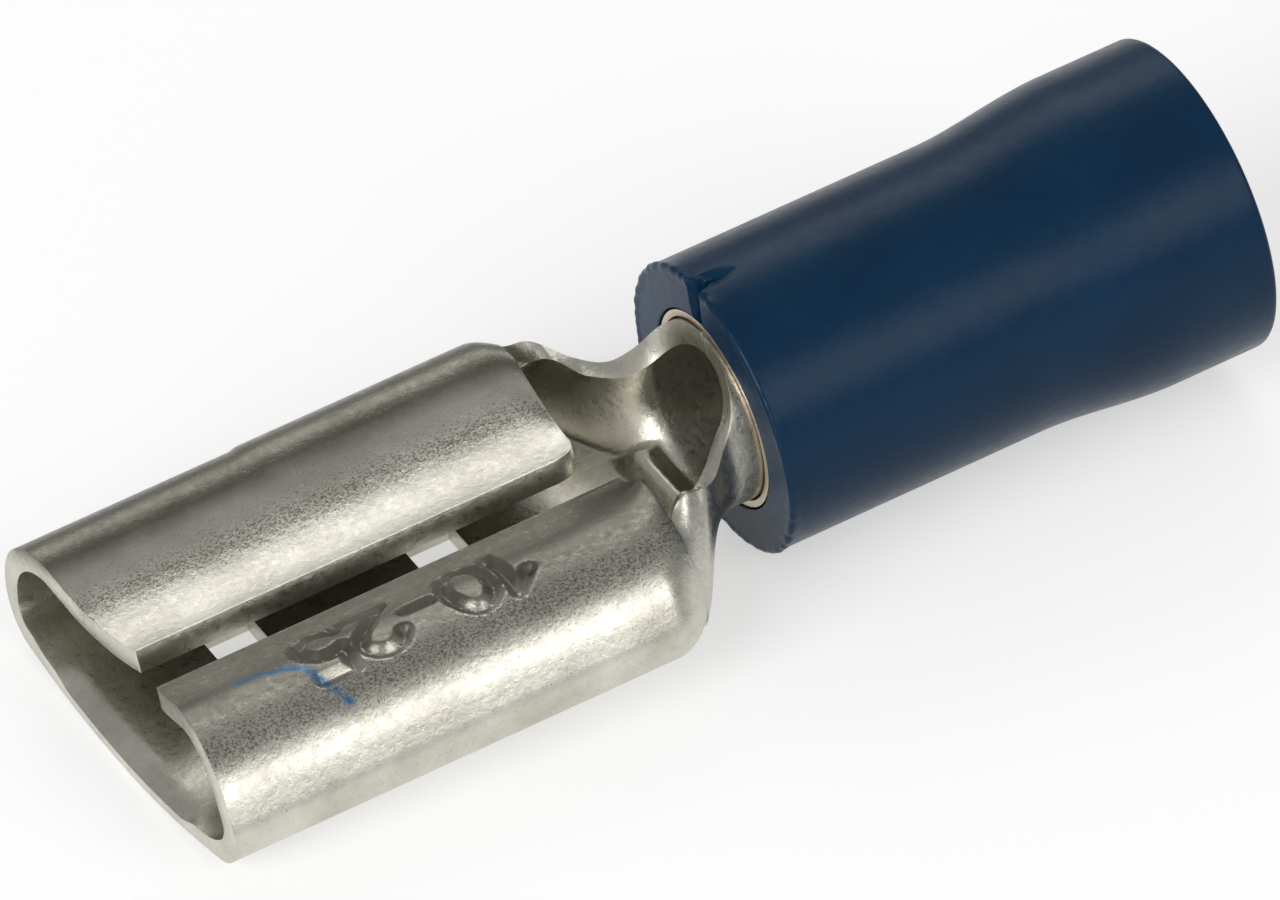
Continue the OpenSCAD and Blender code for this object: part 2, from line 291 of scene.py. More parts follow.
def neck_path(wing, x):
    radius = bow_r(wing, x)
    bow = math.asin(min(1, floor_half(wing, x) / radius))
    turn = mix(wing.corner_a, math.pi, rounding(x) ** 2)
    unroll = ease((x - WING_X) / UNROLL_L)
    return [(radius * bow, radius),
            (corner_r(wing, x) * (turn - bow), corner_r(wing, x)),
            (wing.path[2][0] * (1 - rounding(x)), 0),
            (BARREL_R, wing.crown_r / (1 - NEARLY * unroll))]


def neck_half(wing, x):
    closed = math.pi * BARREL_R - SEAM_GAP / 2
    root = wing.shoulder - squeeze(wing, WING_X, wing.shoulder)
    if x >= 0:
        return closed
    if x < -WAIST_X:
        d = min(NECK_FILLET, x - WING_X)
        fillet = NECK_FILLET - math.sqrt(NECK_FILLET ** 2 - (NECK_FILLET - d) ** 2)
        return fillet + mix(root - NECK_FILLET, WAIST_HALF,
                            ease((x - WING_X) / (NECK_L - WAIST_X)))
    v = (x + WAIST_X) / WAIST_X
    return mix(WAIST_HALF, closed, 1 - math.sqrt(1 - v * v))


def neck_columns(wing, x):
    s = wing.s[:wing.neck_n + 1]
    squeezed = s - squeeze(wing, WING_X, s)
    even = np.linspace(0, 1, wing.neck_n + 1)
    u = ease((x - WING_X) / NECK_L)
    return neck_half(wing, x) * mix(squeezed / squeezed[-1], even, u)


print("half width at the waist", neck_half(LEFT, -WAIST_X))

# %% [markdown]
# ## Stamped figures
# The press stamps plain figures in the right wing. A Text object cut by a Boolean would not
# bend with the sheet. So each figure is a few strokes on the flat blank, and a stroke is a
# V-shaped groove: its depth falls off with the distance from the line.

# %% Strokes of the figures
STAMP_H = 1.25
STAMP_MARGIN = 0.15
GROOVE_W = 0.17
GROOVE_D = 0.13
STAMP_TEXT = "10-25"
FAR = 9.0


def arc(cx, cy, rx, ry, a, b, n=9):
    return [(cx + rx * math.cos(math.radians(mix(a, b, i / n))),
             cy + ry * math.sin(math.radians(mix(a, b, i / n)))) for i in range(n + 1)]


# For each figure its width and its lines, in units of the figure height
FIGURES = {
    "0": (0.66, [arc(0.26, 0.5, 0.26, 0.5, 0, 360, 16)]),
    "1": (0.42, [[(0.02, 0.72), (0.26, 1.0), (0.26, 0.0)]]),
    "2": (0.62, [arc(0.25, 0.74, 0.25, 0.26, 165, -35) + [(0.0, 0.0), (0.52, 0.0)]]),
    "5": (0.62, [[(0.48, 1.0), (0.08, 1.0), (0.05, 0.56)]
                 + arc(0.23, 0.32, 0.27, 0.32, 125, -150)]),
    "-": (0.5, [[(0.04, 0.45), (0.34, 0.45)]]),
}


def stamp_lines(text):
    """Straight pieces (ax, ay, bx, by) of all figures, side by side, and the whole width."""
    pen, pieces = 0.0, []
    for figure in text:
        width, lines = FIGURES[figure]
        for line in lines:
            pieces += [(pen + ax, ay, pen + bx, by) for (ax, ay), (bx, by) in zip(line, line[1:])]
        pen += width
    return np.array(pieces), pen


def distance_to(strokes, x, s):
    """Distance of points (x, s) of the blank from the nearest stroke (ax, as, bx, bs)."""
    nearest = np.full(np.shape(s), FAR)
    for ax, ay, bx, by in strokes:
        dx, dy = bx - ax, by - ay
        along = np.clip(((x - ax) * dx + (s - ay) * dy) / (dx * dx + dy * dy), 0, 1)
        nearest = np.minimum(nearest, np.hypot(x - ax - along * dx, s - ay - along * dy))
    return nearest


lines, width = stamp_lines(STAMP_TEXT)
STAMP_SCALE = (STAMP_X[1] - STAMP_X[0] - 2 * STAMP_MARGIN) / width
first_corner = np.array([STAMP_X[1], STAMP_S[1]] * 2) - STAMP_MARGIN
STROKES = first_corner - lines * np.array([STAMP_SCALE, STAMP_H] * 2)


def stamp_depth(x, s):
    return GROOVE_D * np.clip(1 - distance_to(STROKES, x, s) / GROOVE_W, 0, 1)


print(len(STROKES), "strokes, scale", round(STAMP_SCALE, 3))

# %% [markdown]
# ## Relief of the sheet
# The inner face is coined down at the mouth, so that the tab finds its way in, and a rib across
# the neck stops the tab. Both could be cut or added as solids of their own, but a press only
# moves the sheet. So each face is lifted from the folded line by these amounts.

# %% Relief of the two faces
RAMP_L, RAMP_DROP, RAMP_W = 1.0, 0.1, 5.6
BEVEL_L, BEVEL_DROP, BEVEL_W = 0.3, 0.12, 3.8
RIB_X, RIB_W, RIB_H, RIB_HALF, RIB_FADE = -1.0, 0.42, 0.28, 1.0, 0.35


def coined(x, s):
    ramp = RAMP_DROP * max(0, 1 - (x - MOUTH_X) / RAMP_L) * (1 - ease(2 * s - RAMP_W))
    bevel = BEVEL_DROP * max(0, 1 - (x - MOUTH_X) / BEVEL_L) * (1 - ease(2 * s - BEVEL_W))
    return ramp + bevel


def rib(x, s):
    return RIB_H * (1 - ease(abs(x - RIB_X) / RIB_W)) * (1 - ease((s - RIB_HALF) / RIB_FADE))


def set_back(s):
    return MOUTH_BOW_R - np.sqrt(MOUTH_BOW_R ** 2 - s * s)


def corner_cut(d):
    inside = np.clip(LIP_CORNER_R - d, 0, LIP_CORNER_R)
    return LIP_CORNER_R - np.sqrt(LIP_CORNER_R ** 2 - inside ** 2)


print("thinnest at the mouth", round(SHEET_T - float(coined(MOUTH_X, np.array(0.0))), 3))

# %% [markdown]
# ## Wear and painted shade
# The crowns are worn dull and partly darkened with painted shade, dark specks gather beside the
# bright bands, and blue vinyl has smeared on the right wing. Each mark follows the fold, so a
# texture in Object coordinates would cut across it. The marks are numbers at the points of the
# blank, and the finish reads them as attributes.

# %% Marks on the outer face
# How dull each wing's crown is, from wear and from painted shade, at some developed distances:
# (distances, amounts)
WORN_AND_SHADED = {1: ((5.2, 5.8, 6.6, 7.0, 8.0), (0, 1, 1, 0.25, 0)),
          -1: ((5.2, 5.7, 6.0, 6.3, 7.9), (0, 0.1, 0.4, 1, 0.9))}
# Middle and half width of the band of specks on each wing
SPECKED = {1: (7.65, 0.35), -1: (5.6, 0.4)}
# The smear, as (distance from the mouth, developed distance)
SMEAR = [(1.25, 6.7), (1.8, 6.63), (2.2, 6.5), (2.4, 6.35), (2.58, 5.92), (2.74, 5.4)]
SMEAR_STROKES = [(MOUTH_X + ax, ay, MOUTH_X + bx, by)
                 for (ax, ay), (bx, by) in zip(SMEAR, SMEAR[1:])]
SMEAR_W = 0.09
# Above 1, so that the middle of the smear is solid
SMEAR_SOLID = 1.3


def wear_marks(wing, x, s):
    """Columns of wear with painted shade, specked and smeared, for points (x, s) of one wing."""
    # Wear, together with painted shade on the crowns
    worn_and_shaded = np.interp(s, *WORN_AND_SHADED[wing.side])
    centre, half = SPECKED[wing.side]
    specked = np.exp(-((s - centre) / half) ** 2)
    nearest = distance_to(SMEAR_STROKES if wing is RIGHT else [], x, s)
    return np.stack([worn_and_shaded, specked, np.clip(SMEAR_SOLID - nearest / SMEAR_W, 0, 1)], 1)


print("the right wing's marks at the mouth, on its crown", wear_marks(
    RIGHT, MOUTH_X, np.array([RIGHT.shoulder])).round(2)[0])

# %% One wing at one station
KINK_X = MOUTH_X + 4.25
KINK_L = 0.2
KINK_Y = 2.0
KINK_STEP = 0.05
# The mouth's bow has died out at this distance from it
BOW_L = 2.0


def edge_shift(wing, x, s):
    """How far the blank's outline moves points along x: the bowed mouth and the cut left lip."""
    shift = set_back(s) * max(0, 1 - (x - MOUTH_X) / BOW_L)
    if wing is RIGHT:
        return shift
    side = sum(length for length, radius in wing.path[:3])
    slant = LIP_SLANT * np.maximum(0, (s - side) / (wing.length - side))
    return shift - (corner_cut(wing.length - s) + slant) * max(0, 1 - (WING_X - x) / TRIM_L)


def half_section(wing, i):
    """Marks, and outer and inner points, of one wing at station i from the centre line out."""
    x = stations[i]
    in_neck = i > wing_end
    s = neck_columns(wing, x) if in_neck else wing.s
    points, angles = walk(neck_path(wing, x) if in_neck else wing.path, s)
    xs = np.full(len(s), x)
    if not in_neck:
        xs = xs + edge_shift(wing, x, s)
    stamped = wing is RIGHT and not in_neck and STAMP_X[0] < x < STAMP_X[1]
    dent = stamp_depth(x, s) if stamped else np.zeros(len(s))
    rows = []
    for lift in (dent, SHEET_T - coined(x, s) + rib(x, s)):
        q = points + np.asarray(lift)[:, None] * leftward(angles)
        y = q[:, 0] if in_neck else q[:, 0] - squeeze(wing, x, q[:, 0])
        if wing is LEFT:
            y = y - KINK_STEP * ease((KINK_X - x) / KINK_L + 0.5) * ease(q[:, 0] - KINK_Y)
        rows.append(np.stack([xs, wing.side * y, body_z(x) + q[:, 1]], 1))
    return wear_marks(wing, x, s) * (not in_neck), rows


print("points of the left wing at the mouth", half_section(LEFT, 0)[1][0].shape)

# %% [markdown]
# ## From grid to mesh
# A plane with a Solidify modifier would give an even sheet, but the two faces differ where the
# sheet is stamped and coined. So every cell of the blank that is there gives an outer and an
# inner face, and a wall where its neighbour is missing: at the outline and round the windows.

# %% Grid of the whole sheet
def sheet_grid():
    """Points [station, face, column] and their marks, and the columns right of the middle."""
    points, marks = [], []
    n_right, n_left = len(RIGHT.s) - 1, len(LEFT.s) - 1
    for i in range(len(stations)):
        right_marks, right = half_section(RIGHT, i)
        left_marks, left = half_section(LEFT, i)
        row, mark = [], []
        for face in (0, 1):
            a, b = right[face][:0:-1], left[face]
            pad_a = np.repeat(a[:1], n_right - len(a), 0)
            pad_b = np.repeat(b[-1:], n_left + 1 - len(b), 0)
            row.append(np.concatenate([pad_a, a, b, pad_b]))
            a, b = right_marks[:0:-1] * (1 - face), left_marks * (1 - face)
            pad_a = np.zeros((n_right - len(a), 3))
            pad_b = np.zeros((n_left + 1 - len(b), 3))
            mark.append(np.concatenate([pad_a, a, b, pad_b]))
        points.append(row)
        marks.append(mark)
    return np.array(points), np.array(marks), n_right


grid, marks, n_right = sheet_grid()
print("grid of", grid.shape[0], "stations,", grid.shape[1], "faces and", grid.shape[2], "columns")

# %% Cells of the blank that are there
def present(i, j):
    """Whether the cell behind station i and left of column j is sheet, and not cut away."""
    if i >= wing_end and not n_right - RIGHT.neck_n <= j < n_right + LEFT.neck_n:
        return False
    x = (stations[i] + stations[i + 1]) / 2
    edges = LEFT.s[j - n_right:][:2] if j >= n_right else RIGHT.s[n_right - j - 1:][:2]
    in_window = any(w < x < w + WINDOW_L for w in WINDOWS)
    return not (in_window and edges.mean() < WINDOW_W / 2)


# One more row and column stay empty, so a cell on the edge finds nothing beyond it
there = np.zeros((grid.shape[0] + 1, grid.shape[2] + 1), bool)
for i in range(grid.shape[0] - 1):
    for j in range(grid.shape[2] - 1):
        there[i, j] = present(i, j)
print(int(there.sum()), "cells of sheet")

# %% Faces and walls
def build_sheet(name):
    n_stations, n_columns = grid.shape[0], grid.shape[2]
    index = np.arange(n_stations * 2 * n_columns).reshape(n_stations, 2, n_columns)
    faces, walls = [], []
    for i, j in np.argwhere(there):
        a, b = index[i, 0], index[i + 1, 0]
        c, d = index[i, 1], index[i + 1, 1]
        faces.append((a[j], a[j + 1], b[j + 1], b[j]))
        faces.append((c[j], d[j], d[j + 1], c[j + 1]))
        if not there[i - 1, j]:
            walls.append((c[j], c[j + 1], a[j + 1], a[j]))
        if not there[i + 1, j]:
            walls.append((d[j + 1], d[j], b[j], b[j + 1]))
        if not there[i, j - 1]:
            walls.append((d[j], c[j], a[j], b[j]))
        if not there[i, j + 1]:
            walls.append((c[j + 1], d[j + 1], b[j + 1], a[j + 1]))
    # 0 on the outer face and 1 on the inner one, so it rises across a sheared edge
    rise = np.zeros(grid.shape[:3])
    rise[:, 1] = 1
    # The first field darkens the tin for wear and for painted shade on the crowns
    fields = {"worn_and_shaded": marks[..., 0].ravel(), "specked": marks[..., 1].ravel(),
              "smeared": marks[..., 2].ravel(), "rise": rise.ravel()}
    return mesh_of(name, grid.reshape(-1, 3), [faces, walls], fields)


def mesh_of(name, points, groups, fields=None):
    """A mesh in millimetres; each group of faces gets its own material index."""
    mesh = bpy.data.meshes.new(name)
    mesh.from_pydata([tuple(p) for p in points], [], [f for group in groups for f in group])
    numbers = [k for k, group in enumerate(groups) for f in group]
    mesh.polygons.foreach_set("material_index", numbers)
    for key, values in (fields or {}).items():
        mesh.attributes.new(key, "FLOAT", "POINT").data.foreach_set("value", values)
    shell = bmesh.new()
    shell.from_mesh(mesh)
    loose = [v for v in shell.verts if not v.link_faces]
    bmesh.ops.delete(shell, geom=loose, context="VERTS")
    print(name, len(shell.faces), "faces, volume", round(shell.calc_volume(signed=True), 2),
          "mm3,", sum(not e.is_manifold for e in shell.edges), "open edges")
    shell.to_mesh(mesh)
    shell.free()
    return mesh


sheet_mesh = build_sheet("sheet")

# %% [markdown]
# ## Finishes
# Tin plating is a soft grey metal: a little rough, mottled, worn dull and painted with shade on
# the crowns, with dark pits. A flat grey would look like paint. Noise at several scales in Object
# coordinates gives the mottle and the pits, and the same noise drives the roughness and a fine
# bump.

# %% Node helpers
BUMP_DEPTH = 0.00002


def material(name):
    mat = bpy.data.materials.new(name)
    mat.use_nodes = True
    nodes = mat.node_tree.nodes
    return mat, nodes, mat.node_tree.links, nodes["Principled BSDF"]


def noise_node(nodes, links, coords, scale, detail=4.0, rough=0.6, stretch=(1, 1, 1)):
    mapping = nodes.new("ShaderNodeMapping")
    mapping.inputs["Scale"].default_value = stretch
    links.new(coords, mapping.inputs["Vector"])
    tex = nodes.new("ShaderNodeTexNoise")
    tex.inputs["Scale"].default_value = scale
    tex.inputs["Detail"].default_value = detail
    tex.inputs["Roughness"].default_value = rough
    links.new(mapping.outputs["Vector"], tex.inputs["Vector"])
    return tex.outputs["Fac"]


def ramp_node(nodes, links, fac, stops):
    ramp = nodes.new("ShaderNodeValToRGB")
    ramp.color_ramp.elements[0].position, ramp.color_ramp.elements[0].color = stops[0]
    ramp.color_ramp.elements[1].position, ramp.color_ramp.elements[1].color = stops[-1]
    for position, color in stops[1:-1]:
        ramp.color_ramp.elements.new(position).color = color
    links.new(fac, ramp.inputs["Fac"])
    return ramp.outputs["Color"]


def grey(value):
    return (value, value, value, 1)


def field(nodes, name):
    """A number that the mesh holds at its points; 0 where a mesh has no such attribute."""
    node = nodes.new("ShaderNodeAttribute")
    node.attribute_name = name
    return node.outputs["Fac"]


def calc(nodes, links, operation, a, b):
    """A Math node between two sockets or plain numbers, in a shader or a geometry tree."""
    node = nodes.new("ShaderNodeMath")
    node.operation = operation
    for k, value in enumerate((a, b)):
        if isinstance(value, (int, float)):
            node.inputs[k].default_value = value
        else:
            links.new(value, node.inputs[k])
    return node.outputs[0]


def multiplied(nodes, links, a, b):
    blend = nodes.new("ShaderNodeMix")
    blend.data_type = "RGBA"
    blend.blend_type = "MULTIPLY"
    blend.inputs["Factor"].default_value = 1
    links.new(a, blend.inputs["A"])
    links.new(b, blend.inputs["B"])
    return blend.outputs["Result"]


def uneven(nodes, links, shader, noise_out, rough, bump_strength):
    """One noise makes the surface unevenly rough and gives it a fine bump."""
    mottle = ramp_node(nodes, links, noise_out, [(0.3, grey(rough[0])), (0.7, grey(rough[1]))])
    links.new(mottle, shader.inputs["Roughness"])
    bump = nodes.new("ShaderNodeBump")
    bump.inputs["Strength"].default_value = bump_strength
    bump.inputs["Distance"].default_value = BUMP_DEPTH
    links.new(noise_out, bump.inputs["Height"])
    links.new(bump.outputs["Normal"], shader.inputs["Normal"])


print("bumps are", BUMP_DEPTH / MM, "mm deep at most")

# %% Tin plating
def tin_color(nodes, links, broad, fine, grain, low, high, rim):
    """Mottled tin, darker where it is worn and where shade is painted, in its specks and along a
    sheared rim.
    """
    tone = ramp_node(nodes, links, broad, [(0.32, (*low, 1)), (0.68, (*high, 1))])
    # The worn crowns, with their painted shade, have a ragged border
    worn_and_shaded = calc(nodes, links, "ADD", field(nodes, "worn_and_shaded"),
                  calc(nodes, links, "MULTIPLY", calc(nodes, links, "SUBTRACT", fine, 0.5), 0.6))
    # Dull tin colour, which also serves as painted shade on the crowns
    dull_and_shaded = ramp_node(nodes, links, worn_and_shaded, [(0.1, grey(1)), (0.95, (0.32, 0.315, 0.30, 1))])
    # Specks are everywhere, but close together only beside the bright bands
    speck = calc(nodes, links, "ADD", grain,
                 calc(nodes, links, "MULTIPLY", field(nodes, "specked"), 0.16))
    dark = ramp_node(nodes, links, speck, [(0.6, grey(1)), (0.74, (0.36, 0.36, 0.35, 1))])
    burr = ramp_node(nodes, links, field(nodes, "rise"), [(0.0, grey(rim)), (0.16, grey(1))])
    return multiplied(nodes, links, multiplied(nodes, links, tone, dull_and_shaded),
                      multiplied(nodes, links, dark, burr))


def tin_plating(name, low, high, rough=(0.24, 0.4), rim=1.0):
    mat, nodes, links, shader = material(name)
    coords = nodes.new("ShaderNodeTexCoord").outputs["Object"]
    broad = noise_node(nodes, links, coords, 700, 6, 0.68)
    fine = noise_node(nodes, links, coords, 7000, 5, 0.7)
    grain = noise_node(nodes, links, coords, 27000, 4, 0.7, (0.8, 1, 1))
    smeared = calc(nodes, links, "MULTIPLY", field(nodes, "smeared"), ramp_node(
        nodes, links, fine, [(0.4, grey(0.35)), (0.55, grey(1))]))
    smear = nodes.new("ShaderNodeMix")
    smear.data_type = "RGBA"
    links.new(smeared, smear.inputs["Factor"])
    links.new(tin_color(nodes, links, broad, fine, grain, low, high, rim), smear.inputs["A"])
    smear.inputs["B"].default_value = (0.02, 0.12, 0.26, 1)
    links.new(smear.outputs["Result"], shader.inputs["Base Color"])
    # Vinyl on the tin hides most of the metal
    links.new(calc(nodes, links, "SUBTRACT", 1.0, calc(
        nodes, links, "MULTIPLY", smeared, 0.7)), shader.inputs["Metallic"])
    uneven(nodes, links, shader, fine, rough, 0.55)
    return mat


tin = tin_plating("tin plating", (0.52, 0.50, 0.43), (0.72, 0.70, 0.62))
sheared = tin_plating("sheared edge", (0.62, 0.60, 0.53), (0.82, 0.80, 0.73), (0.4, 0.55), 0.3)
tube_tin = tin_plating("tinned tube", (0.60, 0.50, 0.40), (0.74, 0.64, 0.52))
print("finishes", tin.name, sheared.name, tube_tin.name)

# %% [markdown]
# ## Finishing a piece
# No sheared edge is sharp, so a Bevel modifier rounds them. Bevelling the grid by hand would
# double the code. The modifiers are applied, the mesh is scaled to metres, and shading is
# smooth except across sharp turns.

# %% Finish the sheet terminal
SHEET_EDGE = 0.025
SHARPEST_BEND = math.radians(50)


def rounded(width):
    return ("BEVEL", {"width": width, "segments": 2, "limit_method": "ANGLE",
                      "angle_limit": SHARPEST_BEND})


def finish_piece(name, mesh, mats, modifiers, smooth_angle=35):
    obj = bpy.data.objects.new(name, mesh)
    bpy.context.scene.collection.objects.link(obj)
    for kind, settings in modifiers:
        modifier = obj.modifiers.new(kind, kind)
        for key, value in settings.items():
            setattr(modifier, key, value)
    deps = bpy.context.evaluated_depsgraph_get()
    done = bpy.data.meshes.new_from_object(obj.evaluated_get(deps))
    obj.modifiers.clear()
    obj.data = done
    done.transform(Matrix.Scale(MM, 4))
    done.polygons.foreach_set("use_smooth", [True] * len(done.polygons))
    done.set_sharp_from_angle(angle=math.radians(smooth_angle))
    done.materials.clear()
    for mat in mats:
        done.materials.append(mat)
    triangles = sum(len(p.vertices) - 2 for p in done.polygons)
    print(name, triangles, "triangles")
    return obj


terminal = finish_piece("sheet_terminal", sheet_mesh, [tin, sheared], [rounded(SHEET_EDGE)], 28)
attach(terminal, "root")
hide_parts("terminal")

# %% [markdown]
# ## The support tube
# A thin tube lies between the barrel and the vinyl and widens once towards the wire. It could
# be lathed from a profile, but its radius follows a rule, one smooth step along its length. So
# a Geometry Nodes tree makes it from a plain cylinder, with its sizes as named inputs.

# %% Sizes of the support tube
tube_lo, tube_hi = [np.array(c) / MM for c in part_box("support_sleeve")]
TUBE_WALL = 0.13
TUBE_R = BARREL_R + SLIDE_GAP + TUBE_WALL / 2
TUBE_STEP = tube_hi[2] - TUBE_WALL / 2 - TUBE_R
CONE_X = BARREL_L + 0.37
CONE_L = 0.5
TUBE_EDGE = 0.03
TUBE_AROUND = 160
TUBE_ALONG = 60
print("tube radius", round(TUBE_R, 3), "widens by", round(TUBE_STEP, 3))

# %% Tree of the support tube
def tube_tree(mat):
    tree = bpy.data.node_groups.new("stepped tube", "GeometryNodeTree")
    tree.interface.new_socket("Geometry", in_out="OUTPUT", socket_type="NodeSocketGeometry")
    names = {"Start": tube_lo[0], "Length": tube_hi[0] - tube_lo[0], "Radius": TUBE_R,
             "Step": TUBE_STEP, "Cone Start": CONE_X, "Cone Length": CONE_L}
    for name, value in names.items():
        socket = tree.interface.new_socket(name, in_out="INPUT", socket_type="NodeSocketFloat")
        socket.default_value = value
    nodes, links = tree.nodes, tree.links
    given = nodes.new("NodeGroupInput")
    out = nodes.new("NodeGroupOutput")
    tube = nodes.new("GeometryNodeMeshCylinder")
    tube.fill_type = "NONE"
    tube.inputs["Vertices"].default_value = TUBE_AROUND
    tube.inputs["Side Segments"].default_value = TUBE_ALONG
    tube.inputs["Radius"].default_value = 1.0
    tube.inputs["Depth"].default_value = 1.0
    place = nodes.new("GeometryNodeInputPosition")
    split = nodes.new("ShaderNodeSeparateXYZ")
    links.new(place.outputs[0], split.inputs[0])
    share = calc(nodes, links, "ADD", split.outputs["Z"], 0.5)
    run = calc(nodes, links, "MULTIPLY", share, given.outputs["Length"])
    along = calc(nodes, links, "ADD", run, given.outputs["Start"])
    step = nodes.new("ShaderNodeMapRange")
    step.interpolation_type = "SMOOTHSTEP"
    links.new(along, step.inputs["Value"])
    links.new(given.outputs["Cone Start"], step.inputs["From Min"])
    links.new(calc(nodes, links, "ADD", given.outputs["Cone Start"], given.outputs["Cone Length"]),
              step.inputs["From Max"])
    links.new(given.outputs["Radius"], step.inputs["To Min"])
    links.new(calc(nodes, links, "ADD", given.outputs["Radius"], given.outputs["Step"]),
              step.inputs["To Max"])
    wide = step.outputs["Result"]
    join = nodes.new("ShaderNodeCombineXYZ")
    links.new(along, join.inputs["X"])
    for axis, target in (("X", "Y"), ("Y", "Z")):
        links.new(calc(nodes, links, "MULTIPLY", split.outputs[axis], wide), join.inputs[target])
    move = nodes.new("GeometryNodeSetPosition")
    links.new(tube.outputs["Mesh"], move.inputs["Geometry"])
    links.new(join.outputs[0], move.inputs["Position"])
    realize = nodes.new("GeometryNodeRealizeInstances")
    links.new(move.outputs[0], realize.inputs[0])
    paint = nodes.new("GeometryNodeSetMaterial")
    paint.inputs["Material"].default_value = mat
    links.new(realize.outputs[0], paint.inputs[0])
    links.new(paint.outputs[0], out.inputs[0])
    return tree


def made_by_tree(name, tree):
    """The plain mesh that a tree makes, still in millimetres."""
    carrier = bpy.data.objects.new(name, bpy.data.meshes.new(name))
    bpy.context.scene.collection.objects.link(carrier)
    modifier = carrier.modifiers.new("tree", "NODES")
    modifier.node_group = tree
    deps = bpy.context.evaluated_depsgraph_get()
    mesh = bpy.data.meshes.new_from_object(carrier.evaluated_get(deps))
    bpy.data.objects.remove(carrier)
    return mesh


tube_mesh = made_by_tree("tube", tube_tree(tube_tin))
wall = ("SOLIDIFY", {"thickness": TUBE_WALL, "offset": 0})
support = finish_piece("support_tube", tube_mesh, [tube_tin], [wall, rounded(TUBE_EDGE)])
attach(support, "root")
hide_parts("support_sleeve")

# %% [markdown]
# ## The vinyl sleeve
# The sleeve is moulded and cut to length. It is a body of revolution with a flared wire end, so
# a Screw modifier could turn its profile. But the cut left a torn nick and a ragged rim, so its
# rings are built in code, where each point can be moved.

# %% Profile of the sleeve
vinyl_lo, vinyl_hi = [np.array(c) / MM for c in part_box("insulating_sleeve")]
ENTRY_R = mounts["wire_entry"]["dims"]["r_mm"]
ENTRY_L = mounts["wire_entry"]["dims"]["length_mm"]
SLEEVE_R = 2.48
FLARE_R = vinyl_hi[2]
STRAIGHT_L = 4.85
FLARE_L = 2.4
RIM_R = 0.08
ENTRY_EDGE = 0.06
BORE_EDGE = 0.02
FACE_N = 13
RIM_N = FACE_N + 5
VINYL_BORE_R = TUBE_R + TUBE_WALL / 2 + SLIDE_GAP


def quarter(r, x, radius, a, b, n=4):
    """Points of a rounded edge about (r, x), from angle a to angle b in degrees."""
    return [(r + radius * math.cos(math.radians(mix(a, b, i / n))),
             x + radius * math.sin(math.radians(mix(a, b, i / n)))) for i in range(n + 1)]


def outer_radius(x):
    flare = float(ease((x - vinyl_lo[0] - STRAIGHT_L) / FLARE_L))
    return SLEEVE_R + (FLARE_R - SLEEVE_R) * flare


def sleeve_profile():
    """Points (radius, x): front face, rim, wall, back rim, wire entry and bore."""
    x0, x1 = vinyl_lo[0], vinyl_hi[0]
    shoulder = x1 - ENTRY_L
    radii = np.linspace(VINYL_BORE_R + BORE_EDGE, SLEEVE_R - RIM_R, FACE_N + 1)[:-1]
    face = [(r, x0) for r in radii]
    rim = quarter(SLEEVE_R - RIM_R, x0 + RIM_R, RIM_R, -90, 0)
    wall = [(outer_radius(x), x) for x in np.linspace(x0 + RIM_R, x1 - RIM_R, 110)[1:-1]]
    back = quarter(FLARE_R - RIM_R, x1 - RIM_R, RIM_R, 0, 90)
    entry = quarter(ENTRY_R + ENTRY_EDGE, x1 - ENTRY_EDGE, ENTRY_EDGE, 90, 180)
    entry += [(ENTRY_R, x) for x in np.linspace(x1 - 0.1, shoulder, 8)]
    wide = VINYL_BORE_R + TUBE_STEP
    inside = [(wide, shoulder), (wide, CONE_X + CONE_L), (VINYL_BORE_R, CONE_X),
              (VINYL_BORE_R, x0 + BORE_EDGE)]
    return np.array(face + rim + wall + back + entry + inside)


profile = sleeve_profile()
print(len(profile), "points in the sleeve's profile")

# %% Turn the profile
NICK_A = math.radians(-3)
NICK_W = math.radians(5)
NICK_D = 0.42
# The nick fades over this length of the wall, and dents it this deep
NICK_L = 0.8
NICK_BITE = 0.12
RAGGED_OUT = 0.045
RAGGED_AHEAD = 0.03
TEARS = 40
RAGS = 14
place = np.arange(len(profile))
on_front = place < RIM_N + 12
on_rim = (place >= FACE_N) & (place < RIM_N)


def turned(angles):
    """Rings of points (angle, place in the profile), with the nick and the ragged rim cut in."""
    points = np.zeros((len(angles), len(profile), 3))
    for i, angle in enumerate(angles):
        r, x = profile.T
        lean = angle - NICK_A - 0.02 * (r - VINYL_BORE_R)
        nick = np.clip(1 - np.abs(lean) / NICK_W, 0, 1)
        nick = nick * np.clip(1 - (x - vinyl_lo[0]) / NICK_L, 0, 1) * on_front
        torn = noise.noise(Vector((angle * TEARS, 0, 0)))
        x = x + NICK_D * nick * (1 + 0.4 * torn)
        r = r - NICK_BITE * nick * (r > SLEEVE_R - 0.3)
        around = Vector((math.cos(angle) * RAGS, math.sin(angle) * RAGS, 3))
        ragged = 0.5 + 0.5 * noise.noise(around)
        r = r + RAGGED_OUT * ragged * on_rim
        x = x - RAGGED_AHEAD * ragged * on_rim
        points[i] = np.stack([x, -r * math.sin(angle), r * math.cos(angle)], 1)
    return points


def finish_at(j):
    """Material of the faces after place j: 0 the wall and bore, 1 the cut face, 2 its rim."""
    if j < FACE_N - 1 or j == len(profile) - 1:
        return 1
    return 2 if j < RIM_N else 0


# The rings lie closer together at the nick
nick_angles = np.radians(np.arange(-14, 8.1, 0.5))
rest_angles = np.radians(np.linspace(8, 346, 226)[1:-1])
sleeve_points = turned(np.concatenate([nick_angles, rest_angles]))
index = np.arange(sleeve_points[..., 0].size).reshape(sleeve_points.shape[:2])
ahead, across = np.roll(index, -1, 0), np.roll(index, -1, 1)
both = np.roll(ahead, -1, 1)
rings = [[], [], []]
for i, j in np.ndindex(index.shape):
    rings[finish_at(j)].append((index[i, j], ahead[i, j], both[i, j], across[i, j]))
vinyl_mesh = mesh_of("vinyl", sleeve_points.reshape(-1, 3), rings)

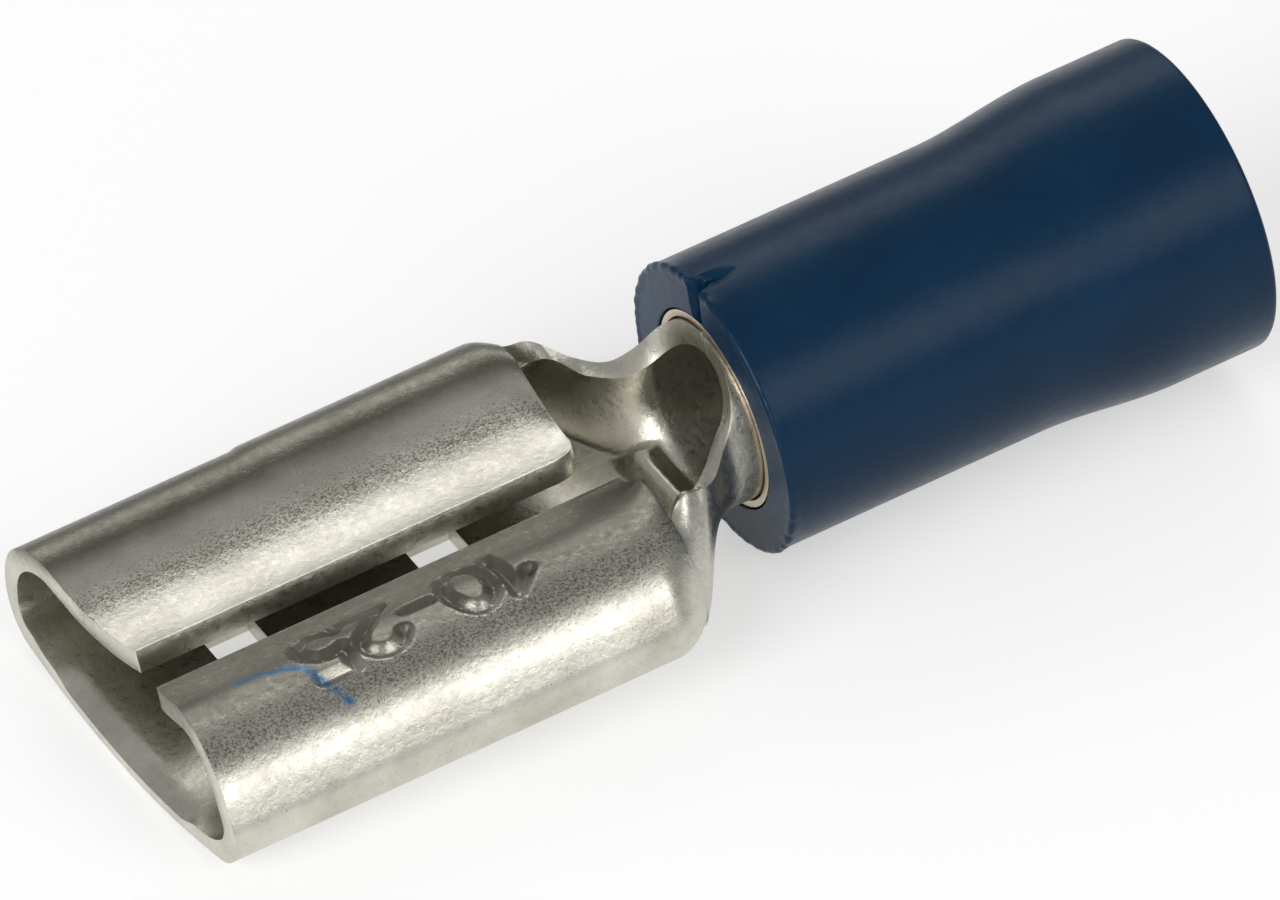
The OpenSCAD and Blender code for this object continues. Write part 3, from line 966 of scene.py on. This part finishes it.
# %% [markdown]
# ## Vinyl
# The sleeve is dark blue vinyl with a soft gloss. One plain colour would do from afar, but the
# moulded skin is a little uneven, so noise in Object coordinates drives tone, gloss and a fine
# bump. The cut face is paler and duller, and its trimmed rim is a brighter blue.

# %% Vinyl
def vinyl(name, low, high, rough=(0.26, 0.36)):
    mat, nodes, links, shader = material(name)
    coords = nodes.new("ShaderNodeTexCoord").outputs["Object"]
    broad = noise_node(nodes, links, coords, 500, 4, 0.6)
    fine = noise_node(nodes, links, coords, 4000, 5, 0.7)
    tone = ramp_node(nodes, links, broad, [(0.3, (*low, 1)), (0.7, (*high, 1))])
    links.new(tone, shader.inputs["Base Color"])
    shader.inputs["Specular IOR Level"].default_value = 0.16
    uneven(nodes, links, shader, fine, rough, 0.35)
    return mat


blue = vinyl("blue vinyl", (0.0014, 0.020, 0.052), (0.0024, 0.028, 0.068))
cut_blue = vinyl("cut face", (0.030, 0.046, 0.072), (0.045, 0.066, 0.096), (0.5, 0.65))
trim_blue = vinyl("trimmed rim", (0.003, 0.09, 0.24), (0.006, 0.15, 0.36))
sleeve = finish_piece("vinyl_sleeve", vinyl_mesh, [blue, cut_blue, trim_blue], [])
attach(sleeve, "root")
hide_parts("insulating_sleeve")

# %% [markdown]
# ## Floor, light and camera
# The terminal lies on a pale floor, on the mouth's lower edge and the sleeve's front rim. Bare
# metal shows what it reflects, so the lamps are placed by their reflections: a soft one on each
# side makes the bright bands on the wings, a large one beyond the mouth lights the floor and
# the folds, and the world fills in.

# %% Floor
FLOOR_HALF = 1.2
FLOOR_CLEARANCE = 0.00001
rest_slope = (-SLEEVE_R + AXIS_H) / (vinyl_lo[0] - MOUTH_X)


def floor_z(x):
    return (-AXIS_H + rest_slope * (x - MOUTH_X)) * MM - FLOOR_CLEARANCE


def background(name, color, glow):
    """A matt surface that glows for camera, glossy and transmission rays, and so looks white."""
    mat, nodes, links, shader = material(name)
    shader.inputs["Base Color"].default_value = color
    shader.inputs["Roughness"].default_value = 0.9
    shader.inputs["Specular IOR Level"].default_value = 0.1
    shader.inputs["Emission Color"].default_value = (1, 1, 1, 1)
    rays = nodes.new("ShaderNodeLightPath")
    seen = calc(nodes, links, "MAXIMUM", rays.outputs["Is Camera Ray"], calc(
        nodes, links, "MAXIMUM", rays.outputs["Is Glossy Ray"],
        rays.outputs["Is Transmission Ray"]))
    links.new(calc(nodes, links, "MULTIPLY", seen, glow), shader.inputs["Emission Strength"])
    return mat


def make_floor():
    mesh = bpy.data.meshes.new("floor")
    corners = [(x * FLOOR_HALF, y * FLOOR_HALF, floor_z(x * FLOOR_HALF / MM))
               for x, y in ((-1, -1), (1, -1), (1, 1), (-1, 1))]
    mesh.from_pydata(corners, [], [(0, 1, 2, 3)])
    mesh.materials.append(background("pale floor", (0.6, 0.6, 0.6, 1), 0.5))
    obj = bpy.data.objects.new("floor", mesh)
    bpy.context.scene.collection.objects.link(obj)
    return obj


floor = make_floor()
print("floor slope", round(rest_slope, 4))

# %% Lights
def soft_lamp(name, direction, distance, size, power):
    """An area lamp that faces the origin; lengths in metres, power in watts."""
    data = bpy.data.lights.new(name, "AREA")
    data.shape = "RECTANGLE"
    data.size, data.size_y = size
    data.energy = power
    lamp = bpy.data.objects.new(name, data)
    bpy.context.scene.collection.objects.link(lamp)
    away = Vector(direction).normalized()
    lamp.location = away * distance
    lamp.rotation_euler = away.to_track_quat("Z", "Y").to_euler()
    print(name, "lamp at", [round(v, 2) for v in lamp.location])


soft_lamp("key", (0.31, -0.8, 0.5), 0.6, (0.4, 0.3), 0.88)
soft_lamp("back", (0.31, 0.72, 0.6), 0.6, (0.3, 0.25), 0.42)
soft_lamp("fill", (-0.8, -0.35, 0.5), 0.8, (0.5, 0.5), 4.4)

world = bpy.data.worlds.new("studio")
bpy.context.scene.world = world
world.use_nodes = True
sky = world.node_tree.nodes["Background"]
sky.inputs["Color"].default_value = (1, 1, 1, 1)
sky.inputs["Strength"].default_value = 0.35
bpy.context.scene.view_settings.view_transform = "Standard"
print("the world shines with strength", round(sky.inputs["Strength"].default_value, 2))

# %% Camera
# A long lens from far off: where it stands, and the directions of its right, up and back
CAMERA_AT = Vector((-99.3262, -221.9897, 202.1109)) * MM
CAMERA_RIGHT = Vector((0.865809, -0.486969, -0.115050))
CAMERA_UP = Vector((0.392651, 0.518686, 0.759467))
CAMERA_BACK = Vector((-0.310161, -0.702728, 0.640292))
camera_data = bpy.data.cameras.new("camera")
camera_data.sensor_width = 36
camera_data.lens = 562.5
camera_data.clip_start = 0.01
camera = bpy.data.objects.new("camera", camera_data)
bpy.context.scene.collection.objects.link(camera)
turn = Matrix((CAMERA_RIGHT, CAMERA_UP, CAMERA_BACK)).transposed().to_4x4()
camera.matrix_world = Matrix.Translation(CAMERA_AT) @ turn
bpy.context.scene.camera = camera
print("camera", [round(v, 4) for v in camera.location])
